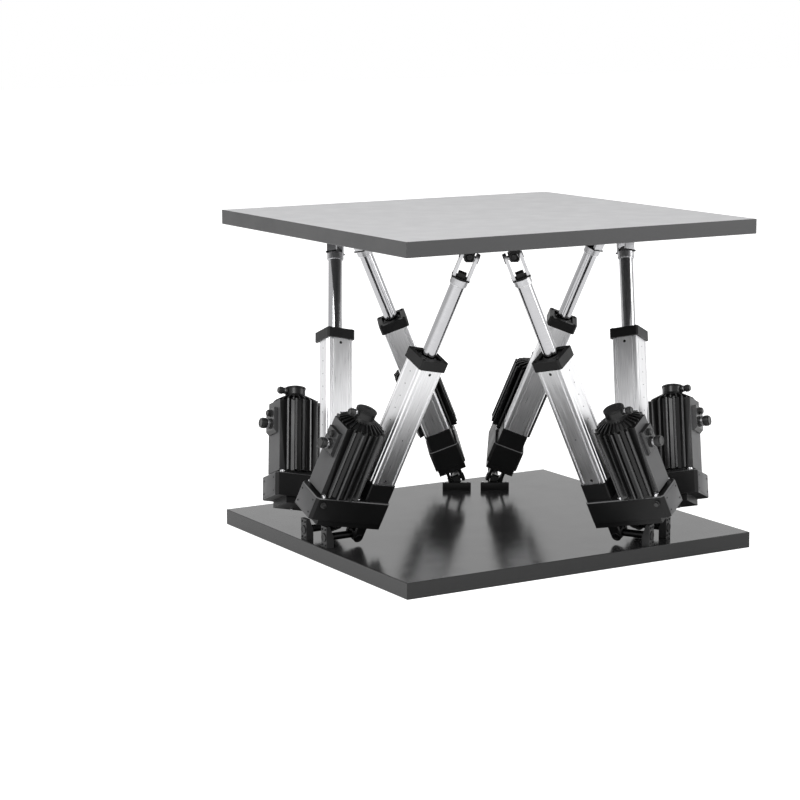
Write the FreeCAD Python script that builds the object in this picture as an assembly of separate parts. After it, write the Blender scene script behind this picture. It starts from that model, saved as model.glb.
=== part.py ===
import FreeCAD, Part
import math
import os

Vector = FreeCAD.Vector

# Six-axis motion platform: a base plate and a top plate joined by six electric actuators.
# Millimetres, +Z up, origin at the centre of the base plate's underside, +X along the long side.

# Joint layout: three pairs on each plate, the upper pairs turned by 60 degrees
leg_count = 6
first_pair_angle = 60.0
pair_pitch_angle = 120.0
upper_turn_angle = 60.0
lower_pair_radius = 487.0
lower_half_spacing = 62.0
upper_pair_radius = 481.0
upper_half_spacing = 61.0
lower_joint_height = 30.0
upper_joint_drop = 28.0
heave_travel = 120.0

# Plates: both reach past the lower joints by these margins
plate_end_margin = 113.0
plate_side_margin = 99.7456
plate_length = 2 * (lower_pair_radius + plate_end_margin)
plate_width = 2 * (lower_pair_radius * math.sin(math.radians(first_pair_angle))
                   + lower_half_spacing * math.cos(math.radians(first_pair_angle)) + plate_side_margin)
base_thickness = 48.0
top_thickness = 44.0
top_underside = 946.0
plate_edge_chamfer = 1.5

# Universal joints
axle_radius = 6.0
pin_clearance = 0.25
hub_length = 26.0
hub_width = 24.0
hub_height = 28.0
hub_chamfer = 4.0
lower_shaft_radius = 11.0
upper_trunnion_radius = 8.0
ear_end_radius = 15.5
ear_thickness = 9.0
lower_ear_gap = 32.0
upper_ear_gap = 34.0

# Bearing pedestals on the base plate, outward of the joints
pedestal_outer_face = 103.0
pedestal_top_length = 12.0
pedestal_foot_length = 24.0
pedestal_wall = 4.75
pedestal_rise = 33.0

# Brackets under the top plate: two lugs for each joint, each on a foot of its own
lug_foot_width = 46.0
lug_foot_length = 20.0
lug_foot_height = 8.0
lug_half_gap = 26.0
lug_thickness = 12.0
lug_wall = 3.0
lug_chamfer = 5.0
drift_clearance = 0.5

# Lower yoke and belt housing, along the leg from the lower joint
yoke_plate_start = 44.0
housing_start = 64.0
housing_height = 70.0
adapter_height = 56.0
yoke_plate_inner = 42.0
yoke_plate_outer = 180.0
yoke_plate_width = 90.0
housing_inner = 44.0
housing_outer = 216.0
housing_width = 102.0
housing_corner_chamfer = 8.0
housing_rim_chamfer = 2.5
adapter_width = 84.0

# Tube, front cap, screw and rod
tube_length = 382.0
tube_width = 80.0
tube_bore_width = 58.0
tube_corner_chamfer = 3.0
groove_offset = 27.0
groove_width = 7.0
groove_depth = 2.5
groove_slope = 1.5
cap_width = 92.0
cap_height = 30.0
cap_corner_chamfer = 5.0
cap_pocket_width = 62.0
cap_pocket_depth = 9.0
rod_radius = 21.5
rod_bore_radius = 15.5
rod_wall_end = 175.0
sliding_clearance = 0.5
nut_length = 65.0
nut_corner_chamfer = 4.0
nut_travel_margin = 20.0
screw_radius = 12.5
screw_tip_margin = 10.0
screw_journal_depth = 45.0

# Rod-end fork, along the leg from the upper joint downwards
fork_ear_start = 66.0
fork_plate_thickness = 4.0
fork_plate_depth = 38.0
fork_plate_overhang = 1.0
rod_collar_height = 18.0
rod_collar_radius = 25.5
fork_nut_width = 24.0
fork_nut_height = 14.0

# Motor, parallel to the tube
motor_offset = 132.0
motor_flange_height = 8.0
motor_flange_width = 100.0
motor_body_length = 216.0
motor_half_width = 69.0
motor_core_radius = 59.0
motor_panel_width = 76.0
motor_fin_count = 15
motor_fin_first_angle = 48.0
motor_fin_tip_width = 5.0
motor_fin_root_width = 9.0
motor_shoulder_height = 18.0
motor_shoulder_radius = 56.0
motor_cap_radius = 30.0
motor_cap_height = 32.0

# Motor connectors
socket_block_width = 54.0
socket_block_height = 76.0
socket_block_depth = 14.0
socket_block_drop = 24.0
socket_block_chamfer = 9.0
power_socket_radius = 14.0
power_socket_length = 31.0
power_socket_drop = 70.0
signal_socket_radius = 8.5
signal_socket_length = 10.0
signal_socket_drop = 38.0
cap_socket_radius = 9.0
cap_socket_reach = 26.0
cap_socket_drop = 12.5

# Places along the leg that follow from the sizes above
housing_top = housing_start + housing_height
tube_start = housing_top + adapter_height
tube_top = tube_start + tube_length
cap_top = tube_top + cap_height
motor_base = housing_top
motor_body_start = motor_base + motor_flange_height
motor_body_top = motor_body_start + motor_body_length
motor_shoulder_top = motor_body_top + motor_shoulder_height
rod_end_drop = fork_ear_start + fork_plate_thickness


def radial(angle):
    return Vector(math.cos(math.radians(angle)), math.sin(math.radians(angle)), 0)


class Leg:
    """The two joint centres of one leg and the axes that its parts are built on."""

    def __init__(self, number):
        side = -1 if number % 2 else 1
        lower_angle = first_pair_angle + pair_pitch_angle * ((number - 1) // 2)
        upper_angle = lower_angle + upper_turn_angle * side
        self.number = number
        self.lower_axis = radial(lower_angle)
        self.upper_axis = radial(upper_angle)
        self.lower = (self.lower_axis * lower_pair_radius
                      + radial(lower_angle + 90) * (side * lower_half_spacing))
        self.upper = (self.upper_axis * upper_pair_radius
                      - radial(upper_angle + 90) * (side * upper_half_spacing))
        self.lower.z = base_thickness + lower_joint_height
        self.upper.z = top_underside - upper_joint_drop
        self.length = (self.upper - self.lower).Length
        self.along = (self.upper - self.lower).normalize()
        self.lower_pin = self.along.cross(self.lower_axis).normalize()
        self.upper_pin = self.along.cross(self.upper_axis).normalize()

    def drift(self):
        """How far the rod's end leaves the upper joint's centre at the ends of the heave travel.

        The leg's swing and stroke are taken as straight-line followers of the heave.
        """
        rise = self.along.z
        lean = math.sqrt(1 - rise * rise)
        across = (Vector(self.along.x, self.along.y, 0).normalize() - self.along * lean) * (1 / rise)
        size = heave_travel ** 2 / self.length
        return across * (-size * rise * lean) - self.along * (size * lean * lean / 2)


def frame(origin, x_axis, y_axis):
    z_axis = x_axis.cross(y_axis)
    rows = []
    for x, y, z, o in zip(x_axis, y_axis, z_axis, origin):
        rows += [x, y, z, o]
    return FreeCAD.Placement(FreeCAD.Matrix(*rows, 0, 0, 0, 1))


def actuator_frame(leg):
    return frame(leg.lower, leg.lower_pin.cross(leg.along), leg.lower_pin)


def rod_end_frame(leg):
    return frame(leg.upper, leg.upper_pin.cross(leg.along), leg.upper_pin)


def placed(shape, placement):
    moved = shape.copy()
    moved.Placement = placement.multiply(moved.Placement)
    return moved


def slab(x_range, y_range, z_range):
    corner = Vector(x_range[0], y_range[0], z_range[0])
    return Part.makeBox(x_range[1] - x_range[0], y_range[1] - y_range[0], z_range[1] - z_range[0], corner)


def block(x_size, y_size, z_range, x_centre=0.0):
    half_x, half_y = x_size / 2, y_size / 2
    return slab((x_centre - half_x, x_centre + half_x), (-half_y, half_y), z_range)


def upright_cylinder(radius, z_range, x_centre=0.0):
    return Part.makeCylinder(radius, z_range[1] - z_range[0], Vector(x_centre, 0, z_range[0]))


def prism(points, z_range):
    wire = Part.makePolygon([Vector(x, y, z_range[0]) for x, y in points + points[:1]])
    return Part.Face(wire).extrude(Vector(0, 0, z_range[1] - z_range[0]))


def chamfer_edges(shape, size, wanted):
    return shape.makeChamfer(size, [edge for edge in shape.Edges if wanted(edge)])


def is_upright(edge):
    box = edge.BoundBox
    return box.XLength < 0.01 and box.YLength < 0.01


def lies_at(height):
    return lambda edge: abs(edge.BoundBox.ZMin - height) < 0.01 and abs(edge.BoundBox.ZMax - height) < 0.01


def rounded_tongue(half_width, reach, y_range):
    """A flat ear or lug in the XZ plane: round end about the origin, straight sides running to z = reach."""
    toward = 1 if reach > 0 else -1
    left, right = Vector(-half_width, 0, 0), Vector(half_width, 0, 0)
    far_left, far_right = Vector(-half_width, 0, reach), Vector(half_width, 0, reach)
    end = Part.Arc(left, Vector(0, 0, -toward * half_width), right).toShape()
    sides = [Part.makeLine(right, far_right), Part.makeLine(far_right, far_left),
             Part.makeLine(far_left, left)]
    face = Part.Face(Part.Wire([end] + sides))
    face.translate(Vector(0, y_range[0], 0))
    return face.extrude(Vector(0, y_range[1] - y_range[0], 0))


def ears_with_axle(gap, reach):
    """The two ears of a yoke and the axle pressed into them."""
    inner, outer = gap / 2, gap / 2 + ear_thickness
    near = rounded_tongue(ear_end_radius, reach, (-outer, -inner))
    far = rounded_tongue(ear_end_radius, reach, (inner, outer))
    axle = Part.makeCylinder(axle_radius, 2 * inner, Vector(0, -inner, 0), Vector(0, 1, 0))
    return [near, far, axle]


# Plates

def plate(underside, thickness):
    body = block(plate_length, plate_width, (underside, underside + thickness))
    return body.makeChamfer(plate_edge_chamfer, body.Edges)


# Pedestals and brackets

def upright_wedge(outline, half_width):
    """A solid whose outline lies in the XZ plane and which is as wide to both sides along Y."""
    wire = Part.makePolygon([Vector(x, -half_width, z) for x, z in outline + outline[:1]])
    return Part.Face(wire).extrude(Vector(0, 2 * half_width, 0))


def pedestal():
    """The stand that carries a lower joint's shaft, about the joint centre, with its bore along X."""
    outer, foot = pedestal_outer_face, -lower_joint_height
    bore_radius = lower_shaft_radius + pin_clearance
    outline = [(outer - pedestal_foot_length, foot), (outer, foot), (outer, pedestal_rise),
               (outer - pedestal_top_length, pedestal_rise), (outer - pedestal_foot_length, 0)]
    bore = Part.makeCylinder(bore_radius, outer, Vector(0, 0, 0), Vector(1, 0, 0))
    return upright_wedge(outline, bore_radius + pedestal_wall).cut(bore)


def lower_pedestal(leg):
    across = Vector(0, 0, 1).cross(leg.lower_axis)
    return placed(pedestal(), frame(leg.lower, leg.lower_axis, across))


def lug(bore_radius, bore_centre):
    """One lug on its foot, with the joint centre as origin and the plate towards -Z.

    The lug stands centred on its bore, which need not be centred on the joint.
    """
    foot, inner, outer = -upper_joint_drop, lug_half_gap, lug_half_gap + lug_thickness
    half = bore_radius + lug_wall
    left, right, rise = bore_centre.y - half, bore_centre.y + half, bore_centre.z + half
    outline = [(left, foot), (right, foot), (right, rise - lug_chamfer), (right - lug_chamfer, rise),
               (left + lug_chamfer, rise), (left, rise - lug_chamfer), (left, foot)]
    face = Part.Face(Part.makePolygon([Vector(inner, y, z) for y, z in outline]))
    body = face.extrude(Vector(lug_thickness, 0, 0))
    pad = block(lug_foot_length, lug_foot_width, (foot, foot + lug_foot_height), (inner + outer) / 2)
    bore = Part.makeCylinder(bore_radius, outer, bore_centre, Vector(1, 0, 0))
    return body.fuse(pad).cut(bore)


def upper_bracket(leg):
    """Two lugs with bores wide enough for the rod's end to drift across them."""
    across = Vector(0, 0, -1).cross(leg.upper_axis)
    drift = leg.drift()
    in_bore = Vector(0, drift.dot(across), -drift.z)
    bore_radius = upper_trunnion_radius + in_bore.Length / 2 + drift_clearance
    outer_lug = lug(bore_radius, in_bore * 0.5)
    inner_lug = outer_lug.mirror(Vector(0, 0, 0), Vector(1, 0, 0))
    return placed(Part.makeCompound([outer_lug, inner_lug]), frame(leg.upper, leg.upper_axis, across))


# Universal joint crosses

def cross(shaft_radius, shaft_start, shaft_end):
    """A hub with a round shaft along X, bored along Y for the axle of the yoke."""
    start, length = Vector(shaft_start, 0, 0), shaft_end - shaft_start
    shaft = Part.makeCylinder(shaft_radius, length, start, Vector(1, 0, 0))
    hub = block(hub_length, hub_width, (-hub_height / 2, hub_height / 2))
    along_y = [edge for edge in hub.Edges if edge.BoundBox.YLength > hub_width / 2]
    hub = hub.makeChamfer(hub_chamfer, along_y)
    side = Vector(0, -hub_width / 2, 0)
    bore = Part.makeCylinder(axle_radius + pin_clearance, hub_width, side, Vector(0, 1, 0))
    return shaft.fuse(hub).cut(bore)


def lower_cross(leg):
    """This cross ends in a long shaft that turns in the pedestal."""
    body = cross(lower_shaft_radius, 0, pedestal_outer_face)
    return placed(body, frame(leg.lower, leg.lower_axis, leg.lower_pin))


def upper_cross(leg):
    end = lug_half_gap + lug_thickness
    return placed(cross(upper_trunnion_radius, -end, end), frame(leg.upper, leg.upper_axis, leg.upper_pin))


# Actuator body

def lower_yoke():
    inner, outer = -yoke_plate_inner, yoke_plate_outer
    half_width = yoke_plate_width / 2
    plate_body = slab((inner, outer), (-half_width, half_width), (yoke_plate_start, housing_start))
    return plate_body.fuse(ears_with_axle(lower_ear_gap, yoke_plate_start)).removeSplitter()


def belt_casing():
    """The belt housing and, on its tube side, the square bearing block that carries the tube."""
    half_width = housing_width / 2
    body = slab((-housing_inner, housing_outer), (-half_width, half_width), (housing_start, housing_top))
    body = chamfer_edges(body, housing_corner_chamfer, is_upright)
    body = chamfer_edges(body, housing_rim_chamfer, lies_at(housing_top))
    bearing_block = block(adapter_width, adapter_width, (housing_top, tube_start))
    bearing_block = chamfer_edges(bearing_block, tube_corner_chamfer, is_upright)
    journal = upright_cylinder(screw_radius + sliding_clearance,
                               (housing_top - screw_journal_depth, tube_start))
    return body.fuse(bearing_block).cut(journal)


def tube_side():
    """The outline along one side of the square tube, with a groove near each corner."""
    half = tube_width / 2
    corner = half - tube_corner_chamfer
    floor = half - groove_depth
    points = [(-corner, -half)]
    for centre in (-groove_offset, groove_offset):
        mouth = groove_width / 2
        points += [(centre - mouth, -half), (centre - mouth + groove_slope, -floor),
                   (centre + mouth - groove_slope, -floor), (centre + mouth, -half)]
    return points + [(corner, -half)]


def tube():
    points = []
    for quarter in range(4):
        turn = math.radians(90 * quarter)
        for x, y in tube_side():
            points.append((x * math.cos(turn) - y * math.sin(turn), x * math.sin(turn) + y * math.cos(turn)))
    span = (tube_start, tube_top)
    return prism(points, span).cut(block(tube_bore_width, tube_bore_width, span))


def front_cap():
    body = chamfer_edges(block(cap_width, cap_width, (tube_top, cap_top)), cap_corner_chamfer, is_upright)
    pocket = block(cap_pocket_width, cap_pocket_width, (cap_top - cap_pocket_depth, cap_top))
    bore = upright_cylinder(rod_radius + sliding_clearance, (tube_top, cap_top))
    return body.cut(pocket).cut(bore)


# Motor

def fin_reach(turn):
    """How far a fin stands out from the motor's axis: the tips lie on a square with cut corners."""
    out, side = abs(math.cos(turn)), abs(math.sin(turn))
    return min(motor_half_width / max(out, side), (motor_half_width + motor_panel_width / 2) / (out + side))


def finned_outline():
    """The outline of the motor body: a flat panel on the outer side and cooling fins round the rest."""
    face, half_panel = motor_half_width, motor_panel_width / 2
    root = math.sqrt(motor_core_radius ** 2 - half_panel ** 2)
    points = [(root, -half_panel), (face, -half_panel), (face, half_panel), (root, half_panel)]
    step = (360 - 2 * motor_fin_first_angle) / (motor_fin_count - 1)
    half_root, half_tip = motor_fin_root_width / 2, motor_fin_tip_width / 2
    for fin in range(motor_fin_count):
        turn = math.radians(motor_fin_first_angle + step * fin)
        foot, tip = motor_core_radius, fin_reach(turn)
        for out, side in ((foot, -half_root), (tip, -half_tip), (tip, half_tip), (foot, half_root)):
            points.append((out * math.cos(turn) - side * math.sin(turn),
                           out * math.sin(turn) + side * math.cos(turn)))
    return [(motor_offset + x, y) for x, y in points]


def socket_along_x(radius, start, end, height):
    return Part.makeCylinder(radius, end - start, Vector(start, 0, height), Vector(1, 0, 0))


def motor_sockets():
    """The block on the panel, with the power socket and the smaller signal socket above it."""
    face = motor_offset + motor_half_width
    outer = face + socket_block_depth
    top = motor_body_top - socket_block_drop
    bottom = top - socket_block_height
    chamfer = socket_block_chamfer
    outline = [(face, bottom), (outer - chamfer, bottom), (outer, bottom + chamfer),
               (outer, top), (face, top)]
    block_body = upright_wedge(outline, socket_block_width / 2)
    power_height = motor_body_top - power_socket_drop
    signal_height = motor_body_top - signal_socket_drop
    power = socket_along_x(power_socket_radius, outer, outer + power_socket_length, power_height)
    signal = socket_along_x(signal_socket_radius, outer, outer + signal_socket_length, signal_height)
    return [block_body, power, signal]


def motor_top():
    """A cone up to the end cap, and the cap with the socket on its outer side."""
    cone = Part.makeCone(motor_shoulder_radius, motor_cap_radius, motor_shoulder_height,
                         Vector(motor_offset, 0, motor_body_top))
    cap_end = motor_shoulder_top + motor_cap_height
    cap = upright_cylinder(motor_cap_radius, (motor_shoulder_top, cap_end), motor_offset)
    socket_end = motor_offset + motor_cap_radius + cap_socket_reach
    socket = socket_along_x(cap_socket_radius, motor_offset, socket_end, cap_end - cap_socket_drop)
    return [cone, cap, socket]


def motor():
    flange = block(motor_flange_width, motor_flange_width, (motor_base, motor_body_start), motor_offset)
    body = prism(finned_outline(), (motor_body_start, motor_body_top))
    return flange.fuse([body] + motor_top() + motor_sockets()).removeSplitter()


# Screw, rod and fork

def nut_start(leg):
    """The nut sits so that it stays above the bearing block at the bottom of the stroke."""
    return tube_start + nut_travel_margin + heave_travel * leg.along.z


def screw(leg):
    tip = nut_start(leg) + nut_length + heave_travel * leg.along.z + screw_tip_margin
    return upright_cylinder(screw_radius, (housing_top - screw_journal_depth, tip))


def rod(leg):
    """The hollow rod with its collar and the nut, which the tube's square bore keeps from turning."""
    top = leg.length - rod_end_drop
    start = nut_start(leg)
    bore_radius = screw_radius + sliding_clearance
    nut_width = tube_bore_width - 2 * sliding_clearance
    nut = chamfer_edges(block(nut_width, nut_width, (start, start + nut_length)),
                        nut_corner_chamfer, is_upright)
    nut = nut.cut(upright_cylinder(bore_radius, (start, start + nut_length)))
    shaft = upright_cylinder(rod_radius, (start + nut_length, top - rod_collar_height))
    shaft = shaft.cut(upright_cylinder(rod_bore_radius, (start + nut_length, top - rod_wall_end)))
    collar = upright_cylinder(rod_collar_radius, (top - rod_collar_height, top))
    return Part.makeCompound([shaft.fuse(collar), nut])


def fork():
    """The rod's end fork about the upper joint: foot plate, lock nut, two ears and the axle."""
    plate_top = -fork_ear_start
    plate_bottom = plate_top - fork_plate_thickness
    plate_span = upper_ear_gap + 2 * (ear_thickness + fork_plate_overhang)
    foot = block(fork_plate_depth, plate_span, (plate_bottom, plate_top))
    lock_nut = block(fork_nut_width, fork_nut_width, (plate_top, plate_top + fork_nut_height))
    return foot.fuse([lock_nut] + ears_with_axle(upper_ear_gap, plate_top))


def build_parts():
    """Every sub-part by its name."""
    legs = [Leg(number) for number in range(1, leg_count + 1)]
    parts = {
        "base_plate": plate(0, base_thickness),
        "top_plate": plate(top_underside, top_thickness),
        "lower_pedestals": Part.makeCompound([lower_pedestal(leg) for leg in legs]),
        "upper_brackets": Part.makeCompound([upper_bracket(leg) for leg in legs]),
    }
    for leg in legs:
        body, rod_end = actuator_frame(leg), rod_end_frame(leg)
        parts[f"lower_cross_{leg.number}"] = lower_cross(leg)
        parts[f"belt_housing_{leg.number}"] = placed(Part.makeCompound([belt_casing(), lower_yoke()]), body)
        parts[f"motor_{leg.number}"] = placed(motor(), body)
        parts[f"tube_{leg.number}"] = placed(tube(), body)
        parts[f"front_cap_{leg.number}"] = placed(front_cap(), body)
        parts[f"screw_{leg.number}"] = placed(screw(leg), body)
        parts[f"rod_{leg.number}"] = placed(rod(leg), body)
        parts[f"fork_{leg.number}"] = placed(fork(), rod_end)
        parts[f"upper_cross_{leg.number}"] = upper_cross(leg)
    return parts


def main():
    os.makedirs("parts", exist_ok=True)
    for name, shape in build_parts().items():
        shape.exportStep(f"parts/{name}.step")


main()
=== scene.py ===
import math

import bmesh
import bpy
from mathutils import Matrix, Vector


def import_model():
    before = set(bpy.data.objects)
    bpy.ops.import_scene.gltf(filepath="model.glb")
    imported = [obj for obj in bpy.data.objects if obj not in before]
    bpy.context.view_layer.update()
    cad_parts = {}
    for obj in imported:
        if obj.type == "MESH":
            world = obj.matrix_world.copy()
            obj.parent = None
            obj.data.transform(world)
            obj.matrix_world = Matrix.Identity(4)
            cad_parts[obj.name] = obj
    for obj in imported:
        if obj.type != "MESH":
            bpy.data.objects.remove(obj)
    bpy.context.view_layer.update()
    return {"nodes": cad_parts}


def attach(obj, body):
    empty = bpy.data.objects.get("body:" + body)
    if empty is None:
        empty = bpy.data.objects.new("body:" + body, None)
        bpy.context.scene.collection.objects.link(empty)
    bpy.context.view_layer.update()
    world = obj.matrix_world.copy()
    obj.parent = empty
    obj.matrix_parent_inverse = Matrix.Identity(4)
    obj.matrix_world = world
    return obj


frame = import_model()
nodes = frame["nodes"]

# Sizes in metres and angles in degrees. These repeat the CAD model's sizes.
leg_numbers = range(1, 7)
rear_pair = (1, 2)
base_thickness = 0.048
top_underside = 0.946
lower_pair_radius, lower_half_spacing, lower_joint_height = 0.487, 0.062, 0.030
upper_pair_radius, upper_half_spacing, upper_joint_drop = 0.481, 0.061, 0.028
first_pair_angle, pair_pitch_angle, upper_turn_angle = 60, 120, 60

pedestal_face = 0.103
lower_ear_face = 0.025
upper_ear_face = 0.026
lug_outer_face = 0.038
lug_foot_middle, lug_foot_top = 0.032, -0.020
lug_bore_radius, lug_shift, lug_drop = 0.0111, 0.00257, 0.0006

yoke_underside = 0.044
housing_start, housing_top = 0.064, 0.134
housing_outer, housing_half_width = 0.216, 0.051
housing_rim_chamfer = 0.0025
tube_start, tube_top, cap_top = 0.190, 0.572, 0.602
tube_face = 0.040
cap_pocket_depth = 0.009
rod_radius = 0.0215
collar_bottom, collar_top = -0.0885, -0.0695
fork_plate_bottom, fork_plate_top = -0.070, -0.066
fork_nut_half_width, fork_nut_height = 0.012, 0.014

motor_axis = 0.132
motor_body_start, motor_body_top = 0.142, 0.358
motor_panel_face = 0.201
motor_shoulder_top = 0.376
motor_cap_top, motor_cap_radius = 0.408, 0.030
socket_face = 0.215
power_socket_height, signal_socket_height = motor_body_top - 0.070, motor_body_top - 0.038
power_socket_radius, signal_socket_radius, cap_socket_radius = 0.014, 0.0085, 0.009
power_socket_reach, signal_socket_reach, cap_socket_reach = 0.031, 0.010, 0.026
cap_socket_height = motor_cap_top - 0.0125

# Tolerances for picking faces of the CAD nodes
tolerance = 0.0001
panel_tolerance = 0.0005
fin_tip_reach = 0.0680

# Sizes of the added pieces. A screw is its head's radius and height.
pedestal_cap_radius, pedestal_cap_height = 0.0135, 0.0025
pedestal_screw = (0.0030, 0.0020)
pedestal_screw_heights, pedestal_screw_side = (-0.022, 0.024), 0.009
rail_inner, rail_outer, rail_half_width, rail_top = -0.035, -0.023, 0.046, -0.008
rail_edge = 0.0008
rail_bolt = (0.0042, 0.0030)
rail_bolt_side = 0.038
lug_bolt = (0.0027, 0.0024)
lug_bolt_side = 0.0198
lug_ring_gap, lug_ring_reach, lug_ring_height = 0.0004, 0.0030, 0.0022
lower_ear_cap_radius, lower_ear_cap_height = 0.012, 0.0025
fork_ear_cap_radius, fork_ear_cap_height = 0.0145, 0.0022

cover_rise, cover_depth, cover_inset, cover_edge = 0.0010, 0.001, 0.010, 0.0005
cover_bottom, cover_top = housing_start + 0.005, housing_top - 0.006
cover_screw = (0.0028, 0.0008)
cover_screw_side, cover_screw_rise = 0.033, 0.020
housing_screw = (0.0030, 0.0018)
housing_screw_places, housing_screw_side = (-0.030, 0.030, 0.206), 0.0455
yoke_screw = (0.0050, 0.0045)
yoke_screw_places = ((-0.027, 0.033), (0.027, 0.033), (0.125, 0.030))
plug_place, plug_height = 0.190, housing_top - 0.020
plug_profile = [(0.0085, 0), (0.0085, 0.003), (0.0075, 0.004), (0.0065, 0.004), (0.0065, 0.010),
                (0.0055, 0.011), (0, 0.011)]

hole_rise = 0.0002
side_holes = ((tube_start + 0.012, 0.0045), (tube_top - 0.014, 0.0045), (tube_start + 0.150, 0.0018))
row_hole_count, row_hole_start, row_hole_pitch, row_hole_radius = 9, tube_start + 0.035, 0.040, 0.0017
cap_screw = (0.0042, 0.0022)
cap_screw_side = 0.0375
wiper_foot_gap, wiper_foot_radius, wiper_foot_height = 0.0005, 0.0285, 0.003
wiper_lip_gap, wiper_lip_radius, wiper_lip_height, wiper_lip_edge = 0.0004, 0.0255, 0.0065, 0.0012

motor_bolt = (0.0085, motor_body_start - housing_top - 0.0004)
motor_bolt_reach, motor_bolt_side = 0.059, 0.0415
motor_rib_count, motor_rib_half_thickness = 24, 0.0018
motor_rib_outline = [(0.029, motor_shoulder_top + 0.003), (0.040, motor_shoulder_top + 0.002),
                     (0.066, motor_body_top + 0.006), (0.066, motor_body_top - 0.0005),
                     (0.050, motor_body_top - 0.0005), (0.029, motor_shoulder_top - 0.002)]
cap_sink = 0.0005
cap_foot = motor_shoulder_top - 0.001
cap_foot_profile = [(motor_cap_radius - cap_sink, cap_foot), (motor_cap_radius + 0.007, cap_foot),
                    (motor_cap_radius + 0.003, cap_foot + 0.004),
                    (motor_cap_radius + 0.0006, cap_foot + 0.009),
                    (motor_cap_radius - cap_sink, cap_foot + 0.010)]
cap_rim_reach, cap_rim_height, cap_rim_edge = 0.0012, 0.006, 0.0008
cap_disc_profile = [(motor_cap_radius - 0.003, motor_cap_top),
                    (motor_cap_radius - 0.004, motor_cap_top + 0.0015), (0.012, motor_cap_top + 0.002),
                    (0.011, motor_cap_top + 0.001), (0, motor_cap_top + 0.001)]
ring_sink = 0.0002
flange_reach, flange_height = 0.0025, 0.0028
grip_reach, grip_start_share, grip_end_share = 0.0012, 0.48, 0.90
grip_rib_count, grip_rib_half_width, grip_rib_edge = 24, 0.0006, 0.0003
grip_rib_foot, grip_rib_reach, grip_rib_inset = 0.0006, 0.0020, 0.0008
power_band_reach, power_band_start, power_band_end, power_band_edge = 0.0012, 0.0050, 0.0120, 0.0005
cap_band_reach, cap_band_start, cap_band_end = 0.0008, 0.0045, 0.0090
collar_ring_reach, collar_ring_edge = 0.0025, 0.0008
collar_ring_bottom, collar_ring_top = -0.0915, -0.088


# Legs

def radial(angle):
    return Vector((math.cos(math.radians(angle)), math.sin(math.radians(angle)), 0))


def matrix_of(origin, x_axis, y_axis):
    z_axis = x_axis.cross(y_axis)
    rows = [[x_axis[i], y_axis[i], z_axis[i], origin[i]] for i in range(3)]
    return Matrix(rows + [[0, 0, 0, 1]])


class Leg:
    """One leg's joints and frames, as in the CAD model."""

    def __init__(self, number):
        side = -1 if number % 2 else 1
        lower_angle = first_pair_angle + pair_pitch_angle * ((number - 1) // 2)
        upper_angle = lower_angle + upper_turn_angle * side
        self.number = number
        self.side = side
        self.lower_axis = radial(lower_angle)
        self.upper_axis = radial(upper_angle)
        lower_side = radial(lower_angle + 90) * (side * lower_half_spacing)
        upper_side = radial(upper_angle + 90) * (side * upper_half_spacing)
        self.lower = self.lower_axis * lower_pair_radius + lower_side
        self.upper = self.upper_axis * upper_pair_radius - upper_side
        self.lower.z = base_thickness + lower_joint_height
        self.upper.z = top_underside - upper_joint_drop
        self.along = (self.upper - self.lower).normalized()
        lower_pin = self.along.cross(self.lower_axis).normalized()
        upper_pin = self.along.cross(self.upper_axis).normalized()
        self.body = matrix_of(self.lower, lower_pin.cross(self.along), lower_pin)
        self.rod_end = matrix_of(self.upper, upper_pin.cross(self.along), upper_pin)
        up = Vector((0, 0, 1))
        self.lower_bracket = matrix_of(self.lower, self.lower_axis, up.cross(self.lower_axis))
        self.upper_bracket = matrix_of(self.upper, self.upper_axis, self.upper_axis.cross(up))


legs = [Leg(number) for number in leg_numbers]


# Materials

edge_samples = 4
paint_edge_radius, metal_edge_radius, plastic_edge_radius = 0.0012, 0.0008, 0.0006
cloud_scale, patch_scale, speckle_scale = 14.0, 90.0, 900.0
chrome_ring_stretch, chrome_ring_scale = 40.0, 60.0
plastic_tone_scale, plastic_grain_scale = 60.0, 1500.0


def new_material(name):
    material = bpy.data.materials.new(name)
    material.use_nodes = True
    tree = material.node_tree
    shader = tree.nodes["Principled BSDF"]
    return material, tree, shader


def ramp(tree, source, low, high, low_value, high_value):
    node = tree.nodes.new("ShaderNodeMapRange")
    node.inputs["From Min"].default_value = low
    node.inputs["From Max"].default_value = high
    node.inputs["To Min"].default_value = low_value
    node.inputs["To Max"].default_value = high_value
    tree.links.new(source, node.inputs["Value"])
    return node.outputs["Result"]


def spread(tree, source, low_value, high_value):
    """Stretches a noise, which stays near its middle, over a range of values."""
    return ramp(tree, source, 0.3, 0.7, low_value, high_value)


def math_node(tree, operation, first, second):
    """Joins two sources, or a source and a number, with a plain operation."""
    node = tree.nodes.new("ShaderNodeMath")
    node.operation = operation
    tree.links.new(first, node.inputs[0])
    if isinstance(second, float):
        node.inputs[1].default_value = second
    else:
        tree.links.new(second, node.inputs[1])
    return node.outputs[0]


def noise(tree, vector, scale, detail=3.0):
    node = tree.nodes.new("ShaderNodeTexNoise")
    node.inputs["Scale"].default_value = scale
    node.inputs["Detail"].default_value = detail
    tree.links.new(vector, node.inputs["Vector"])
    return node.outputs["Fac"]


def object_coordinates(tree):
    return tree.nodes.new("ShaderNodeTexCoord").outputs["Object"]


def leg_coordinates(tree, matrix, stretch):
    """Object coordinates turned into a leg's own frame and scaled along it, for lengthwise grain."""
    source = object_coordinates(tree)
    combine = tree.nodes.new("ShaderNodeCombineXYZ")
    for column, scale in enumerate((1.0, 1.0, stretch)):
        dot = tree.nodes.new("ShaderNodeVectorMath")
        dot.operation = "DOT_PRODUCT"
        axis = matrix.col[column].to_3d()
        dot.inputs[1].default_value = axis * scale
        tree.links.new(source, dot.inputs[0])
        tree.links.new(dot.outputs["Value"], combine.inputs[column])
    return combine.outputs["Vector"]


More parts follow.
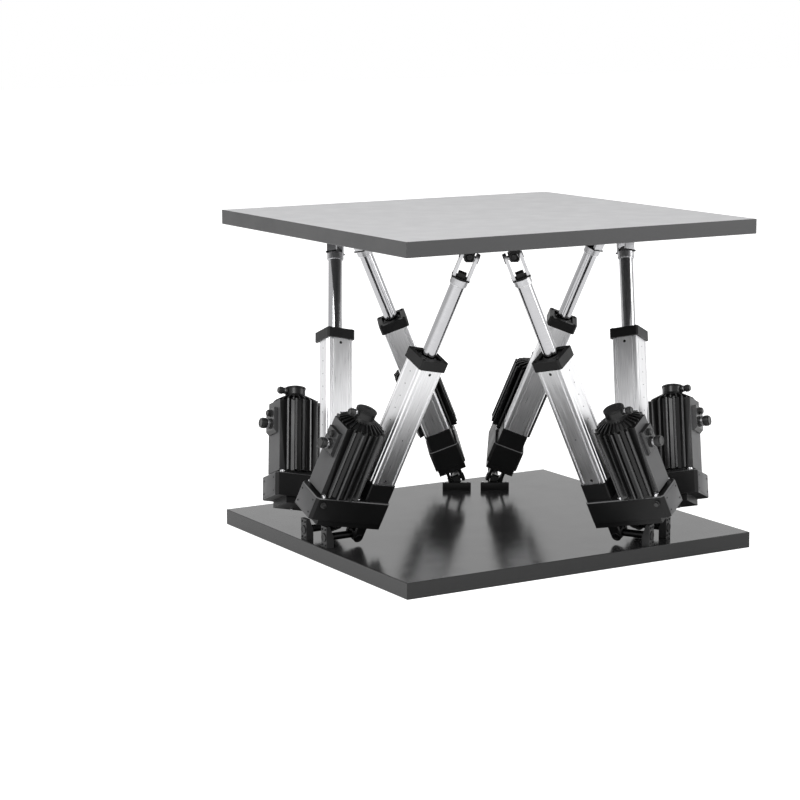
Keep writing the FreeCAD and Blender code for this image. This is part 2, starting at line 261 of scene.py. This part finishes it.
def colour_between(tree, factor, first, second):
    mix = tree.nodes.new("ShaderNodeMix")
    mix.data_type = "RGBA"
    mix.inputs["A"].default_value = (*first, 1)
    mix.inputs["B"].default_value = (*second, 1)
    tree.links.new(factor, mix.inputs["Factor"])
    return mix.outputs["Result"]


def rounded_normal(tree, radius):
    """The surface's normal with its edges rounded."""
    bevel = tree.nodes.new("ShaderNodeBevel")
    bevel.samples = edge_samples
    bevel.inputs["Radius"].default_value = radius
    return bevel.outputs["Normal"]


def edge_factor(tree, rounded):
    """1 on an edge and 0 on flat faces, from the difference between rounded and true normals."""
    geometry = tree.nodes.new("ShaderNodeNewGeometry")
    dot = tree.nodes.new("ShaderNodeVectorMath")
    dot.operation = "DOT_PRODUCT"
    tree.links.new(rounded, dot.inputs[0])
    tree.links.new(geometry.outputs["Normal"], dot.inputs[1])
    return ramp(tree, dot.outputs["Value"], 0.99, 0.75, 0.0, 1.0)


def add_bump(tree, shader, height, strength, distance, normal):
    bump = tree.nodes.new("ShaderNodeBump")
    bump.inputs["Strength"].default_value = strength
    bump.inputs["Distance"].default_value = distance
    tree.links.new(height, bump.inputs["Height"])
    tree.links.new(normal, bump.inputs["Normal"])
    tree.links.new(bump.outputs["Normal"], shader.inputs["Normal"])


def paint(name, colour, worn, roughness, specular, bump=0.15):
    """Painted metal: fine orange peel, cloudy gloss and slightly worn edges."""
    material, tree, shader = new_material(name)
    place = object_coordinates(tree)
    rounded = rounded_normal(tree, paint_edge_radius)
    cloud = noise(tree, place, cloud_scale, 4.0)
    speckle = noise(tree, place, speckle_scale, 2.0)
    patches = ramp(tree, noise(tree, place, patch_scale), 0.35, 0.65, 0.3, 1.0)
    wear = math_node(tree, "MULTIPLY", edge_factor(tree, rounded), patches)
    tree.links.new(colour_between(tree, wear, colour, worn), shader.inputs["Base Color"])
    gloss = spread(tree, cloud, roughness * 0.85, roughness * 1.15)
    tree.links.new(gloss, shader.inputs["Roughness"])
    shader.inputs["Specular IOR Level"].default_value = specular
    add_bump(tree, shader, speckle, bump, 0.0004, rounded)
    return material


def brushed(name, matrix, dark, light, roughness, stretch=0.03, grain=500.0):
    """Bright metal with lengthwise drawing lines."""
    material, tree, shader = new_material(name)
    lines = noise(tree, leg_coordinates(tree, matrix, stretch), grain, 4.0)
    streak = spread(tree, lines, 0.0, 1.0)
    shader.inputs["Metallic"].default_value = 1.0
    tree.links.new(colour_between(tree, streak, dark, light), shader.inputs["Base Color"])
    gloss = spread(tree, lines, roughness * 0.8, roughness * 1.2)
    tree.links.new(gloss, shader.inputs["Roughness"])
    add_bump(tree, shader, lines, 0.12, 0.0002, rounded_normal(tree, metal_edge_radius))
    return material


def polished(name, matrix, dark, light):
    """Hard chrome with faint rings from grinding."""
    material, tree, shader = new_material(name)
    rings = noise(tree, leg_coordinates(tree, matrix, chrome_ring_stretch), chrome_ring_scale)
    shader.inputs["Metallic"].default_value = 1.0
    tone = colour_between(tree, spread(tree, rings, 0.0, 1.0), dark, light)
    tree.links.new(tone, shader.inputs["Base Color"])
    tree.links.new(spread(tree, rings, 0.10, 0.16), shader.inputs["Roughness"])
    return material


def plastic(name, colour, roughness):
    """Moulded plastic or rubber with a fine grain."""
    material, tree, shader = new_material(name)
    place = object_coordinates(tree)
    tone = spread(tree, noise(tree, place, plastic_tone_scale), 0.0, 1.0)
    lighter = tuple(channel * 1.5 for channel in colour)
    tree.links.new(colour_between(tree, tone, colour, lighter), shader.inputs["Base Color"])
    shader.inputs["Roughness"].default_value = roughness
    grain = noise(tree, place, plastic_grain_scale, 2.0)
    add_bump(tree, shader, grain, 0.2, 0.0003, rounded_normal(tree, plastic_edge_radius))
    return material


def grey(value):
    """A cool grey for paint, plastic and small steel parts."""
    return (value, value, value * 1.02)


def metal_grey(value):
    """A cool grey for the legs' bright metal."""
    return (value, value, value + 0.01)


base_paint = paint("base_paint", grey(0.017), grey(0.08), 0.16, 0.25, bump=0.02)
# The top plate's paint comes in two copies of one grey: the dark sides are painted shade and the pale top
# face is painted light.
top_side_painted_shade = paint("top_side_painted_shade", grey(0.058), grey(0.30), 0.40, 0.3, bump=0.08)
top_face_painted_light = paint("top_face_painted_light", grey(0.50), grey(0.62), 0.40, 0.3, bump=0.05)
bracket_paint = paint("bracket_paint", grey(0.006), grey(0.03), 0.45, 0.2)
pedestal_paint = paint("pedestal_paint", grey(0.030), grey(0.10), 0.40, 0.2)
housing_paint = paint("housing_paint", grey(0.007), grey(0.06), 0.45, 0.2, bump=0.3)
# A lighter copy of the housing's black for the housing's end, its cover and the motor's panel: painted
# light on the outer faces the lamps fall on.
outer_face_painted_light = paint("outer_face_painted_light", grey(0.080), grey(0.20), 0.45, 0.25)
# A lighter grey on the housing's rim chamfer: a painted highlight along its top edges.
rim_painted_highlight = paint("rim_painted_highlight", grey(0.12), grey(0.22), 0.40, 0.3)
motor_paint = paint("motor_paint", grey(0.006), grey(0.05), 0.32, 0.3, bump=0.2)
# A lighter, glossier grey on the motor's fin tips: painted highlights in stripes along the fins.
fin_tip_painted_highlight = paint("fin_tip_painted_highlight", grey(0.035), grey(0.14), 0.25, 0.5, bump=0.1)
cap_paint = paint("cap_paint", grey(0.007), grey(0.07), 0.45, 0.2)
dark_steel = brushed("dark_steel", Matrix(), grey(0.012), grey(0.035), 0.38, 1.0, 300.0)
bright_steel = brushed("bright_steel", Matrix(), grey(0.45), grey(0.62), 0.25, 1.0, 400.0)
connector_black = plastic("connector_black", grey(0.008), 0.38)
connector_metal = brushed("connector_metal", Matrix(), grey(0.25), grey(0.40), 0.30, 1.0, 400.0)
seal_rubber = plastic("seal_rubber", grey(0.006), 0.62)
# Near-black for the discs that stand for holes: painted shade inside them.
hole_painted_shade = plastic("hole_painted_shade", grey(0.004), 0.8)


# Mesh building

class Pieces:
    """Collects turned and block shapes in one mesh."""

    def __init__(self):
        self.mesh = bmesh.new()

    def _circle(self, place, radius, height, segments):
        turns = [2 * math.pi * step / segments for step in range(segments)]
        points = [Vector((radius * math.cos(turn), radius * math.sin(turn), height)) for turn in turns]
        return [self.mesh.verts.new(place @ point) for point in points]

    def _bridge(self, lower, upper, segments):
        for step in range(segments):
            after = (step + 1) % segments
            if len(lower) == 1:
                self.mesh.faces.new([lower[0], upper[after], upper[step]])
            elif len(upper) == 1:
                self.mesh.faces.new([lower[step], lower[after], upper[0]])
            else:
                self.mesh.faces.new([lower[step], lower[after], upper[after], upper[step]])

    def lathe(self, place, profile, segments=40):
        """Turns a profile of (radius, height) points about the local Z axis, which its ends may meet."""
        rings = []
        for radius, height in profile:
            if radius == 0:
                rings.append([self.mesh.verts.new(place @ Vector((0, 0, height)))])
            else:
                rings.append(self._circle(place, radius, height, segments))
        for lower, upper in zip(rings, rings[1:]):
            self._bridge(lower, upper, segments)
        for ring, flip in ((rings[0], True), (rings[-1], False)):
            if len(ring) > 1:
                self.mesh.faces.new(ring[::-1] if flip else ring)

    def turned_ring(self, place, profile, segments=48):
        """Turns a closed profile of (radius, height) points that stays off the axis."""
        loops = [self._circle(place, radius, height, segments) for radius, height in profile]
        for lower, upper in zip(loops, loops[1:] + loops[:1]):
            self._bridge(lower, upper, segments)

    def ring(self, place, inner, outer, low, high, soften=0.0004):
        """A flat ring with softened outer edges, open in the middle."""
        self.turned_ring(place, [(inner, low), (outer - soften, low), (outer, low + soften),
                                 (outer, high - soften), (outer - soften, high), (inner, high)])

    def rib(self, place, outline, half_thickness):
        """An upright plate whose outline lies in the local XZ plane."""
        near = [self.mesh.verts.new(place @ Vector((x, -half_thickness, z))) for x, z in outline]
        far = [self.mesh.verts.new(place @ Vector((x, half_thickness, z))) for x, z in outline]
        self.mesh.faces.new(near)
        self.mesh.faces.new(far[::-1])
        for index in range(len(near)):
            after = (index + 1) % len(near)
            self.mesh.faces.new([near[index], far[index], far[after], near[after]])

    def block(self, place, low, high, soften):
        """A block between two corners with softened edges."""
        made = bmesh.ops.create_cube(self.mesh, size=1.0)["verts"]
        size = Vector(high) - Vector(low)
        middle = (Vector(high) + Vector(low)) / 2
        for vert in made:
            vert.co = Vector(vert.co[i] * size[i] + middle[i] for i in range(3))
        edges = list({edge for vert in made for edge in vert.link_edges})
        cut = bmesh.ops.bevel(self.mesh, geom=edges, offset=soften, segments=2, affect="EDGES",
                              profile=0.5)
        for vert in {vert for face in cut["faces"] for vert in face.verts}:
            vert.co = place @ vert.co

    def screw(self, place, head):
        """A cylinder head standing on the local XY plane, with a recess in its top."""
        radius, height = head
        self.lathe(place, [(radius * 0.96, 0), (radius, height * 0.08), (radius, height * 0.86),
                           (radius * 0.9, height), (radius * 0.56, height), (radius * 0.5, height * 0.94),
                           (radius * 0.5, height * 0.45), (0, height * 0.4)], 24)

    def cap(self, place, radius, height):
        """A low round cap with a recess in its middle."""
        self.lathe(place, [(radius, 0), (radius, height * 0.6), (radius - 0.001, height),
                           (radius * 0.62, height), (radius * 0.58, height * 0.7), (0, height * 0.7)])

    def finish(self, name, material, body, slot):
        """Makes the piece and lets it ride on its body."""
        bmesh.ops.recalc_face_normals(self.mesh, faces=self.mesh.faces)
        data = bpy.data.meshes.new(name)
        self.mesh.to_mesh(data)
        self.mesh.free()
        data.materials.append(material)
        data.shade_smooth()
        data.set_sharp_from_angle(angle=math.radians(35.0))
        piece = bpy.data.objects.new(name, data)
        bpy.context.scene.collection.objects.link(piece)
        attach(piece, body)


def at(matrix, x, y, z, toward="+z"):
    """A place in a frame whose local Z axis points along the named axis of that frame."""
    quarter = math.pi / 2
    turns = {"+z": Matrix(), "-z": Matrix.Rotation(math.pi, 4, "X"),
             "+x": Matrix.Rotation(quarter, 4, "Y"), "-x": Matrix.Rotation(-quarter, 4, "Y"),
             "+y": Matrix.Rotation(-quarter, 4, "X"), "-y": Matrix.Rotation(quarter, 4, "X")}
    return matrix @ Matrix.Translation((x, y, z)) @ turns[toward]


def corners(half_length, half_width):
    return [(x, y) for x in (-half_length, half_length) for y in (-half_width, half_width)]


# Finishes of the CAD nodes

def dress(node, material):
    data = nodes[node].data
    data.materials.clear()
    data.materials.append(material)


def repaint_faces(node, material, place, chosen):
    """Gives another material to the faces whose middle and normal, in a given frame, pass the test."""
    data = nodes[node].data
    data.materials.append(material)
    last = len(data.materials) - 1
    inverse = place.inverted()
    turn = inverse.to_3x3()
    for polygon in data.polygons:
        if chosen(inverse @ polygon.center, turn @ polygon.normal):
            polygon.material_index = last


def in_fork_foot(middle, normal):
    """The fork's foot plate and the lock nut on it."""
    nut_half_width = fork_nut_half_width + tolerance
    in_plate = fork_plate_bottom - tolerance < middle.z < fork_plate_top + tolerance
    in_nut = (abs(middle.x) < nut_half_width and abs(middle.y) < nut_half_width
              and middle.z < fork_plate_top + fork_nut_height + tolerance)
    return in_plate or in_nut


def in_collar(middle, normal):
    return collar_bottom < middle.z < collar_top


# The housing's end, which takes the painted light of the outer faces.
def on_housing_end(middle, normal):
    return middle.x > housing_outer - tolerance


# The rim chamfer along the housing's top, which takes a painted highlight.
def on_housing_rim(middle, normal):
    in_chamfer = housing_top - housing_rim_chamfer - tolerance < middle.z < housing_top - tolerance
    return in_chamfer and 0.3 < normal.z < 0.95


# The motor's panel, which takes the painted light of the outer faces.
def on_motor_panel(middle, normal):
    return normal.x > 0.9 and abs(middle.x - motor_panel_face) < panel_tolerance


# The fins' outer tips, which take painted highlights.
def on_fin_tip(middle, normal):
    reach = math.hypot(middle.x - motor_axis, middle.y)
    in_body = motor_body_start < middle.z < motor_body_top
    return in_body and reach > fin_tip_reach and abs(normal.z) < 0.1


# Upward faces of the top plate, which take its painted light.
def on_top_face(middle, normal):
    return normal.z > 0.9


def dress_cad():
    dress("base_plate", base_paint)
    dress("top_plate", top_side_painted_shade)
    # The top face gets the pale copy of the plate's paint, painted light; the sides keep the painted
    # shade.
    repaint_faces("top_plate", top_face_painted_light, Matrix(), on_top_face)
    dress("lower_pedestals", pedestal_paint)
    dress("upper_brackets", bracket_paint)
    for leg in legs:
        dress_leg_nodes(leg, leg.number)


def dress_leg_nodes(leg, n):
    tube_metal = brushed(f"tube_metal_{n}", leg.body, metal_grey(0.62), metal_grey(0.78), 0.34)
    chrome = polished(f"rod_chrome_{n}", leg.body, metal_grey(0.33), metal_grey(0.42))
    fork_metal = brushed(f"fork_metal_{n}", leg.rod_end, metal_grey(0.34), metal_grey(0.46), 0.36, 0.2)
    dress(f"lower_cross_{n}", dark_steel)
    dress(f"upper_cross_{n}", dark_steel)
    dress(f"belt_housing_{n}", housing_paint)
    # The housing's end gets the lighter outer-face paint: painted light.
    repaint_faces(f"belt_housing_{n}", outer_face_painted_light, leg.body, on_housing_end)
    # The rim chamfer gets a painted highlight.
    repaint_faces(f"belt_housing_{n}", rim_painted_highlight, leg.body, on_housing_rim)
    dress(f"motor_{n}", motor_paint)
    # The fin tips get painted highlights.
    repaint_faces(f"motor_{n}", fin_tip_painted_highlight, leg.body, on_fin_tip)
    # The motor's panel gets the lighter outer-face paint: painted light.
    repaint_faces(f"motor_{n}", outer_face_painted_light, leg.body, on_motor_panel)
    dress(f"tube_{n}", tube_metal)
    dress(f"front_cap_{n}", cap_paint)
    dress(f"screw_{n}", bright_steel)
    dress(f"rod_{n}", chrome)
    repaint_faces(f"rod_{n}", fork_metal, leg.rod_end, in_collar)
    dress(f"fork_{n}", fork_metal)
    repaint_faces(f"fork_{n}", cap_paint, leg.rod_end, in_fork_foot)


# Added pieces

def pedestal_details(leg, n):
    """The cap over the shaft's end and four screws on the pedestal's outer face."""
    caps = Pieces()
    caps.cap(at(leg.lower_bracket, pedestal_face, 0, 0, "+x"), pedestal_cap_radius, pedestal_cap_height)
    for z in pedestal_screw_heights:
        for y in (-pedestal_screw_side, pedestal_screw_side):
            caps.screw(at(leg.lower_bracket, pedestal_face, y, z, "+x"), pedestal_screw)
    caps.finish(f"pedestal_caps_{n}", dark_steel, "base", "joint_steel")


def foot_rail(leg, n):
    """The rail across the inner side of the rear pair's joints, with a bolt at each end."""
    rail, bolts = Pieces(), Pieces()
    rail.block(leg.lower_bracket, (rail_inner, -rail_half_width, -lower_joint_height),
               (rail_outer, rail_half_width, rail_top), rail_edge)
    rail.finish(f"foot_rail_{n}", bracket_paint, "base", "bracket_paint")
    for y in (-rail_bolt_side, rail_bolt_side):
        bolts.screw(at(leg.lower_bracket, (rail_inner + rail_outer) / 2, y, rail_top), rail_bolt)
    bolts.finish(f"foot_rail_bolts_{n}", bright_steel, "base", "joint_steel")


def lug_details(leg, n):
    """Bolts in the lugs' feet, and rings round their bores that leave the trunnions free."""
    bolts, rings = Pieces(), Pieces()
    for x, y in corners(lug_foot_middle, lug_bolt_side):
        bolts.screw(at(leg.upper_bracket, x, y, lug_foot_top), lug_bolt)
    bolts.finish(f"lug_bolts_{n}", bright_steel, "platform", "joint_steel")
    for x, toward in ((lug_outer_face, "+x"), (-lug_outer_face, "-x")):
        spot = at(leg.upper_bracket, x, leg.side * lug_shift, -lug_drop, toward)
        rings.ring(spot, lug_bore_radius + lug_ring_gap, lug_bore_radius + lug_ring_reach,
                   0, lug_ring_height)
    rings.finish(f"lug_rings_{n}", dark_steel, "platform", "joint_steel")


def ear_details(leg, n):
    """Caps on the ears of the yoke and of the fork."""
    ears, tips = Pieces(), Pieces()
    for side, toward in ((1, "+y"), (-1, "-y")):
        ears.cap(at(leg.body, 0, side * lower_ear_face, 0, toward),
                 lower_ear_cap_radius, lower_ear_cap_height)
        tips.cap(at(leg.rod_end, 0, side * upper_ear_face, 0, toward),
                 fork_ear_cap_radius, fork_ear_cap_height)
    ears.finish(f"lower_ear_caps_{n}", dark_steel, f"actuator_{n}", "joint_steel")
    tips.finish(f"fork_ear_caps_{n}", cap_paint, f"fork_{n}", "cap_paint")


def housing_details(leg, n):
    """The raised cover on the housing's end, and the screws in it and on the housing's top."""
    body = f"actuator_{n}"
    cover = Pieces()
    half_width = housing_half_width - cover_inset
    cover.block(leg.body, (housing_outer - cover_depth, -half_width, cover_bottom),
                (housing_outer + cover_rise, half_width, cover_top), cover_edge)
    # The cover takes the lighter outer-face paint: painted light.
    cover.finish(f"housing_cover_{n}", outer_face_painted_light, body, "housing_paint")
    screws = Pieces()
    middle = (housing_start + housing_top) / 2
    for y, z in corners(cover_screw_side, cover_screw_rise):
        screws.screw(at(leg.body, housing_outer + cover_rise, y, middle + z, "+x"), cover_screw)
    for x in housing_screw_places:
        for y in (-housing_screw_side, housing_screw_side):
            screws.screw(at(leg.body, x, y, housing_top), housing_screw)
    screws.finish(f"housing_screws_{n}", dark_steel, body, "joint_steel")


def yoke_details(leg, n):
    """The screws under the yoke plate, and the plug on the housing's side."""
    body = f"actuator_{n}"
    under = Pieces()
    for x, side in yoke_screw_places:
        for y in (-side, side):
            under.screw(at(leg.body, x, y, yoke_underside, "-z"), yoke_screw)
    under.finish(f"yoke_screws_{n}", bright_steel, body, "joint_steel")
    plug = Pieces()
    toward = "+y" if leg.side > 0 else "-y"
    spot = at(leg.body, plug_place, leg.side * housing_half_width, plug_height, toward)
    plug.lathe(spot, plug_profile, 32)
    plug.finish(f"housing_plug_{n}", connector_black, body, "motor_paint")


def tube_details(leg, n):
    """Holes on the tube as dark discs of painted shade, screws in the front cap and the wiper round the
    rod.
    """
    body = f"actuator_{n}"
    holes = Pieces()
    for y, toward in ((tube_face, "+y"), (-tube_face, "-y")):
        for z, radius in side_holes:
            hole(holes, at(leg.body, 0, y, z, toward), radius, 24)
    for index in range(row_hole_count):
        spot = at(leg.body, tube_face, 0, row_hole_start + row_hole_pitch * index, "+x")
        hole(holes, spot, row_hole_radius, 16)
    # The hole discs carry painted shade.
    holes.finish(f"tube_holes_{n}", hole_painted_shade, body, "cap_paint")
    screws = Pieces()
    for x, y in corners(cap_screw_side, cap_screw_side):
        screws.screw(at(leg.body, x, y, cap_top), cap_screw)
    screws.finish(f"front_cap_screws_{n}", dark_steel, body, "joint_steel")
    wiper = Pieces()
    floor = cap_top - cap_pocket_depth
    foot_top = floor + wiper_foot_height
    wiper.ring(leg.body, rod_radius + wiper_foot_gap, wiper_foot_radius, floor, foot_top)
    wiper.ring(leg.body, rod_radius + wiper_lip_gap, wiper_lip_radius, foot_top,
               floor + wiper_lip_height, wiper_lip_edge)
    wiper.finish(f"rod_wiper_{n}", seal_rubber, body, "cap_paint")


def hole(pieces, place, radius, segments):
    """A thin disc that stands for a small hole, its darkness painted shade for the hole's inside."""
    pieces.lathe(place, [(radius, -hole_rise), (radius, hole_rise), (0, hole_rise)], segments)


def motor_details(leg, n):
    """The motor's bolts, the ribs and cap of its end, and the rings on its three connectors."""
    body = f"actuator_{n}"
    axis = at(leg.body, motor_axis, 0, 0)
    bolts = Pieces()
    for x, y in corners(motor_bolt_reach, motor_bolt_side):
        bolts.screw(at(axis, x, y, housing_top), motor_bolt)
    bolts.finish(f"motor_bolts_{n}", bright_steel, body, "joint_steel")
    motor_end_details(axis, body, n)
    power = at(leg.body, socket_face, 0, power_socket_height, "+x")
    signal = at(leg.body, socket_face, 0, signal_socket_height, "+x")
    cap_side = at(leg.body, motor_axis + motor_cap_radius, 0, cap_socket_height, "+x")
    rings = Pieces()
    connector_ring(rings, power, power_socket_radius, power_socket_reach)
    connector_ring(rings, signal, signal_socket_radius, signal_socket_reach)
    connector_ring(rings, cap_side, cap_socket_radius, cap_socket_reach)
    rings.finish(f"motor_connector_rings_{n}", connector_black, body, "motor_paint")
    bands = Pieces()
    bands.ring(power, power_socket_radius - ring_sink, power_socket_radius + power_band_reach,
               power_band_start, power_band_end, power_band_edge)
    bands.ring(cap_side, cap_socket_radius - ring_sink, cap_socket_radius + cap_band_reach,
               cap_band_start, cap_band_end)
    bands.finish(f"motor_connector_bands_{n}", connector_metal, body, "joint_steel")


def motor_end_details(axis, body, n):
    """Ribs on the cone of the motor's end, a flared foot under the cap, a rim and a disc on it."""
    ribs = Pieces()
    for index in range(motor_rib_count):
        turn = axis @ Matrix.Rotation(2 * math.pi * index / motor_rib_count, 4, "Z")
        ribs.rib(turn, motor_rib_outline, motor_rib_half_thickness)
    ribs.finish(f"motor_end_ribs_{n}", motor_paint, body, "motor_paint")
    cap = Pieces()
    cap.turned_ring(axis, cap_foot_profile)
    cap.ring(axis, motor_cap_radius - cap_sink, motor_cap_radius + cap_rim_reach,
             motor_cap_top - cap_rim_height, motor_cap_top, cap_rim_edge)
    cap.lathe(axis, cap_disc_profile, 48)
    cap.finish(f"motor_cap_disc_{n}", cap_paint, body, "motor_paint")


def connector_ring(pieces, place, radius, reach):
    """A flange at the foot of a round connector, a ribbed coupling ring and a rim at its mouth."""
    pieces.ring(place, radius - ring_sink, radius + flange_reach, 0, flange_height)
    grip_start, grip_end = reach * grip_start_share, reach * grip_end_share
    pieces.ring(place, radius - ring_sink, radius + grip_reach, grip_start, grip_end)
    for index in range(grip_rib_count):
        turn = place @ Matrix.Rotation(2 * math.pi * index / grip_rib_count, 4, "Z")
        pieces.block(turn, (radius + grip_rib_foot, -grip_rib_half_width, grip_start + grip_rib_inset),
                     (radius + grip_rib_reach, grip_rib_half_width, grip_end - grip_rib_inset),
                     grip_rib_edge)
    pieces.lathe(place, [(radius * 0.99, reach), (radius * 0.9, reach + 0.001),
                         (radius * 0.72, reach + 0.001), (radius * 0.70, reach + 0.0002),
                         (0, reach + 0.0002)], 32)


def collar_details(leg, n):
    """A clamp ring at the foot of the rod's collar."""
    clamp = Pieces()
    clamp.ring(leg.rod_end, rod_radius - ring_sink, rod_radius + collar_ring_reach,
               collar_ring_bottom, collar_ring_top, collar_ring_edge)
    clamp.finish(f"collar_ring_{n}", bright_steel, f"rod_{n}", "fork_metal")


def dress_leg(leg):
    pedestal_details(leg, leg.number)
    if leg.number in rear_pair:
        foot_rail(leg, leg.number)
    lug_details(leg, leg.number)
    ear_details(leg, leg.number)
    housing_details(leg, leg.number)
    yoke_details(leg, leg.number)
    tube_details(leg, leg.number)
    motor_details(leg, leg.number)
    collar_details(leg, leg.number)


# Stage, light and camera

floor_size, floor_tone, floor_glow = 60, 0.92, 0.75
world_light, world_shown = 0.55, 1.0
lamp_size, key_power, fill_power = 3.0, 230, 140
camera_place, camera_yaw, camera_pitch, camera_roll = (-3.894, -6.057, 1.679), 0.5364, -0.1727, -0.003
camera_sensor_width, camera_lens = 36.0, 107.95


def backdrop_rays(tree):
    """1 for the rays that show the pale backdrop, and 0 for the rays that light the object."""
    path = tree.nodes.new("ShaderNodeLightPath")
    seen = path.outputs["Is Camera Ray"]
    for name in ("Is Glossy Ray", "Is Transmission Ray"):
        seen = math_node(tree, "MAXIMUM", seen, path.outputs[name])
    return seen


def stage():
    """A large white floor that keeps the object's shadow."""
    bpy.ops.mesh.primitive_plane_add(size=floor_size, location=(0, 0, 0))
    floor = bpy.context.object
    floor.name = "floor"
    material, tree, shader = new_material("floor_white")
    shader.inputs["Base Color"].default_value = (floor_tone, floor_tone, floor_tone, 1)
    shader.inputs["Roughness"].default_value = 0.9
    glow = math_node(tree, "MULTIPLY", backdrop_rays(tree), floor_glow)
    shader.inputs["Emission Color"].default_value = (1, 1, 1, 1)
    tree.links.new(glow, shader.inputs["Emission Strength"])
    floor.data.materials.append(material)


def world():
    scene_world = bpy.data.worlds.new("studio")
    bpy.context.scene.world = scene_world
    scene_world.use_nodes = True
    tree = scene_world.node_tree
    background = tree.nodes["Background"]
    background.inputs["Color"].default_value = (1, 1, 1, 1)
    strength = ramp(tree, backdrop_rays(tree), 0.0, 1.0, world_light, world_shown)
    tree.links.new(strength, background.inputs["Strength"])


def lamp(name, location, target, size, power):
    light = bpy.data.lights.new(name, "AREA")
    light.shape = "DISK"
    light.size = size
    light.energy = power
    holder = bpy.data.objects.new(name, light)
    holder.location = location
    holder.rotation_euler = (Vector(target) - Vector(location)).to_track_quat("-Z", "Y").to_euler()
    bpy.context.scene.collection.objects.link(holder)


def camera():
    """The photo's view. The angles here are in radians."""
    data = bpy.data.cameras.new("camera")
    data.sensor_width = camera_sensor_width
    data.lens = camera_lens
    holder = bpy.data.objects.new("camera", data)
    level = math.cos(camera_pitch)
    forward = Vector((math.sin(camera_yaw) * level, math.cos(camera_yaw) * level, math.sin(camera_pitch)))
    aim = forward.to_track_quat("-Z", "Y").to_matrix().to_4x4()
    turn = aim @ Matrix.Rotation(camera_roll, 4, "Z")
    holder.matrix_world = Matrix.Translation(camera_place) @ turn
    bpy.context.scene.collection.objects.link(holder)
    bpy.context.scene.camera = holder


def main():
    camera()
    stage()
    world()
    lamp("key", (-4.5, -3.0, 5.0), (0, 0, 0.5), lamp_size, key_power)
    lamp("fill", (5.0, -4.0, 2.0), (0, 0, 0.4), lamp_size, fill_power)
    bpy.context.scene.view_settings.view_transform = "Standard"
    dress_cad()
    for leg in legs:
        dress_leg(leg)


main()
